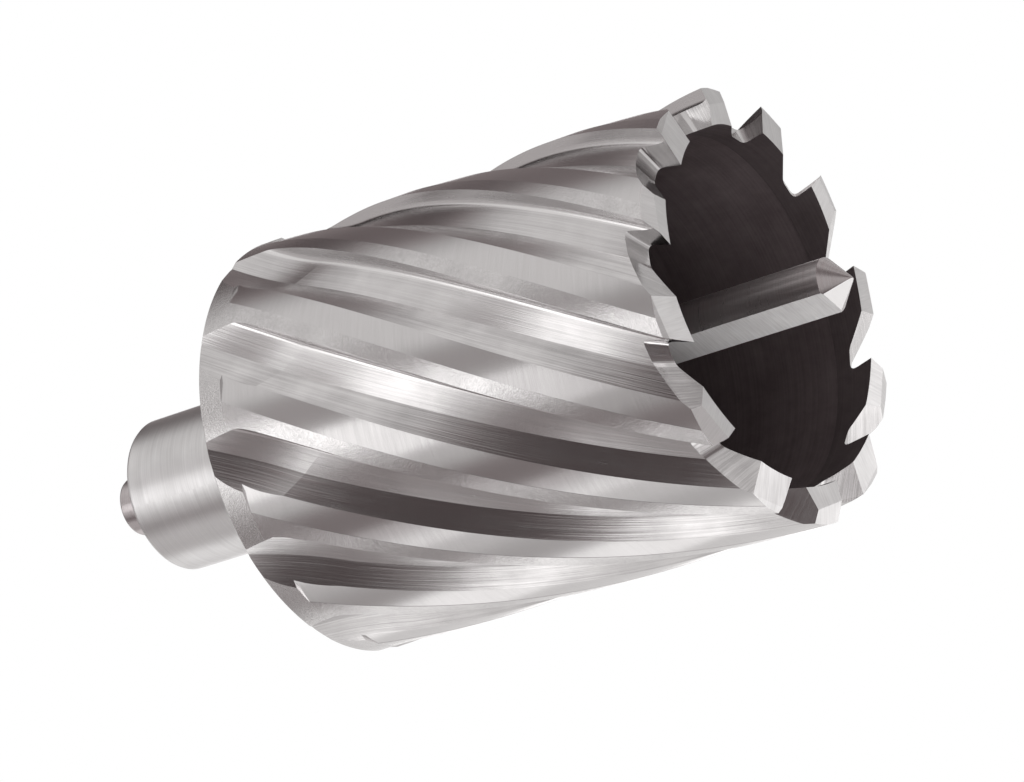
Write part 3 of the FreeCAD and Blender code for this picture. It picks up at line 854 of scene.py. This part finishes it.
def floor_paper(shade):
    """Pale matt paper that the camera sees nearly white, and that still takes the shadow."""
    glow_when_seen = 0.4
    material = bpy.data.materials.new("studio_paper")
    tree = emptied(material)
    matt = add(tree, "ShaderNodeBsdfDiffuse", {"Color": (*shade, 1), "Roughness": 0.8})
    rays = add(tree, "ShaderNodeLightPath")
    seen = add(tree, "ShaderNodeMath", {0: rays.outputs["Is Camera Ray"], 1: rays.outputs["Is Glossy Ray"]},
               operation="MAXIMUM")
    glow = add(tree, "ShaderNodeMath", {0: seen.outputs[0], 1: glow_when_seen}, operation="MULTIPLY")
    white = add(tree, "ShaderNodeEmission", {"Strength": glow.outputs[0]})
    both = add(tree, "ShaderNodeAddShader", {0: matt.outputs[0], 1: white.outputs[0]})
    add(tree, "ShaderNodeOutputMaterial", {"Surface": both.outputs[0]})
    return material


def studio_floor(shade):
    """Floor well below the cutter, because the camera looks up at it."""
    reach, low = 4.0, -0.8
    corners = [(-reach, -reach, low), (reach, -reach, low), (reach, reach, low), (-reach, reach, low)]
    floor = new_object("studio_floor", corners, [(0, 1, 2, 3)], materials=[floor_paper(shade)])
    # Mirror rays pass it and see the room, so the steel keeps its dark and light stretches below too
    floor.visible_glossy = False


def studio_world(lit_shade, dim_shade):
    """White backdrop for camera rays. For the rest a pale room whose unlit stretches of wall are darker.

    Bare steel shows what it mirrors, and in an even room it would look flat."""
    # Azimuth and elevation in degrees, reach, upright squeeze, and the light of each unlit stretch
    unlit = (
        (3, 3, 1.04, 2.4, 0.085),
        (-31, 30, 0.34, 1.0, 0.27),
        (34, 31, 0.27, 1.0, 0.45),
        (-62, 46, 0.36, 1.0, 0.35),
        (-77, 31, 0.26, 1.0, 0.62),
        (140, 27, 0.8, 1.3, 0.24),
        (130, 52, 0.46, 1.0, 0.03),
        (60, 84, 0.6, 1.0, 0.5),
        (0, -90, 0.3, 1.0, 0.12),
        (-72, -64, 0.5, 1.0, 0.12),
        (-168, -66, 0.35, 1.0, 0.3),
        (-80, 41, 0.3, 1.0, 0.35),
        (-42, 60, 0.36, 1.0, 0.08),
        (138, -33, 0.24, 1.0, 0.1),
        (100, -50, 0.3, 1.0, 0.25),
        (168, -15, 0.5, 1.0, 0.62),
    )
    # Each stretch is as dark as it gets within this share of its reach
    core = 0.45
    level = 0.9
    world = bpy.data.worlds.new("studio")
    tree = emptied(world)
    toward = add(tree, "ShaderNodeTexCoord").outputs["Generated"]
    for azimuth, elevation, reach, squeeze, light in unlit:
        off = add(tree, "ShaderNodeVectorMath", {0: toward, 1: direction(azimuth, elevation)},
                  operation="SUBTRACT")
        scaled = add(tree, "ShaderNodeVectorMath", {0: off.outputs[0], 1: (1, 1, squeeze)},
                     operation="MULTIPLY")
        far = add(tree, "ShaderNodeVectorMath", {0: scaled.outputs[0]}, operation="LENGTH")
        lit = add(tree, "ShaderNodeMapRange", {
            "Value": far.outputs["Value"], "From Min": reach * core, "From Max": reach},
            interpolation_type="SMOOTHSTEP")
        mixed = add(tree, "ShaderNodeMix", {"Factor": lit.outputs[0], "A": light, "B": level})
        level = mixed.outputs["Result"]
    pale = add(tree, "ShaderNodeMapRange", {"Value": level, "From Min": 0.03, "From Max": 0.6})
    shade = add(tree, "ShaderNodeMix", {
        "Factor": pale.outputs[0], "A": (*dim_shade, 1), "B": (*lit_shade, 1)}, data_type="RGBA")
    room = add(tree, "ShaderNodeBackground", {"Color": shade.outputs["Result"], "Strength": level})
    white = add(tree, "ShaderNodeBackground", {"Color": (1, 1, 1, 1), "Strength": 1.0})
    rays = add(tree, "ShaderNodeLightPath")
    mix = add(tree, "ShaderNodeMixShader", {
        0: rays.outputs["Is Camera Ray"], 1: room.outputs[0], 2: white.outputs[0]})
    add(tree, "ShaderNodeOutputWorld", {"Surface": mix.outputs[0]})
    bpy.context.scene.world = world


def fitted_camera():
    """Camera at the photograph's angle, fitted to its tooth corners, rear rim and shank."""
    place = Vector((0.39581, -0.00117, -0.26983))
    right = Vector((-0.49985, -0.30348, -0.81120)).normalized()
    back = Vector((0.85162, -0.00164, -0.52415)).normalized()
    up = back.cross(right).normalized()
    turn = Matrix((up.cross(back), up, back)).transposed()
    data = bpy.data.cameras.new("camera")
    data.lens, data.sensor_width = 140.4, 36.0
    data.clip_start, data.clip_end = 0.01, 20.0
    camera = bpy.data.objects.new("camera", data)
    camera.matrix_world = Matrix.Translation(place) @ turn.to_4x4()
    bpy.context.scene.collection.objects.link(camera)
    bpy.context.scene.camera = camera


class CUTTER_OT_stage(bpy.types.Operator):
    """Make the floor, the soft lamps, the white world and the camera"""

    bl_idname = "cutter.stage"
    bl_label = "Studio stage"

    def execute(self, context):
        _, _, _, c = sizes()
        studio_floor(tuple(c.floor))
        studio_world(tuple(c.room_lit), tuple(c.room_dim))
        studio_lamps()
        fitted_camera()
        context.scene.view_settings.view_transform = "Standard"
        return {"FINISHED"}


class CUTTER_PT_panel(bpy.types.Panel):
    """Buttons that make the cutter"""

    bl_label = "Annular cutter"
    bl_space_type = "VIEW_3D"
    bl_region_type = "UI"
    bl_category = "Cutter"

    def draw(self, context):
        for name in ("cutter.body", "cutter.pin", "cutter.stage"):
            self.layout.operator(name)
        for group in sizes():
            for name in group.__annotations__:
                self.layout.prop(group, name)


CLASSES = (*GROUPS.values(), CUTTER_OT_body, CUTTER_OT_pin, CUTTER_OT_stage, CUTTER_PT_panel)


def register():
    """Register the classes and put the property groups on the scene."""
    for item in CLASSES:
        bpy.utils.register_class(item)
    for name, group in GROUPS.items():
        setattr(bpy.types.Scene, name, PointerProperty(type=group))


def unregister():
    """Take the property groups off the scene and unregister the classes."""
    for name in GROUPS:
        delattr(bpy.types.Scene, name)
    for item in reversed(CLASSES):
        bpy.utils.unregister_class(item)


def main():
    """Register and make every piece."""
    register()
    bpy.ops.cutter.body()
    bpy.ops.cutter.pin()
    bpy.ops.cutter.stage()
    bpy.context.view_layer.update()


if __name__ == "__main__":
    main()
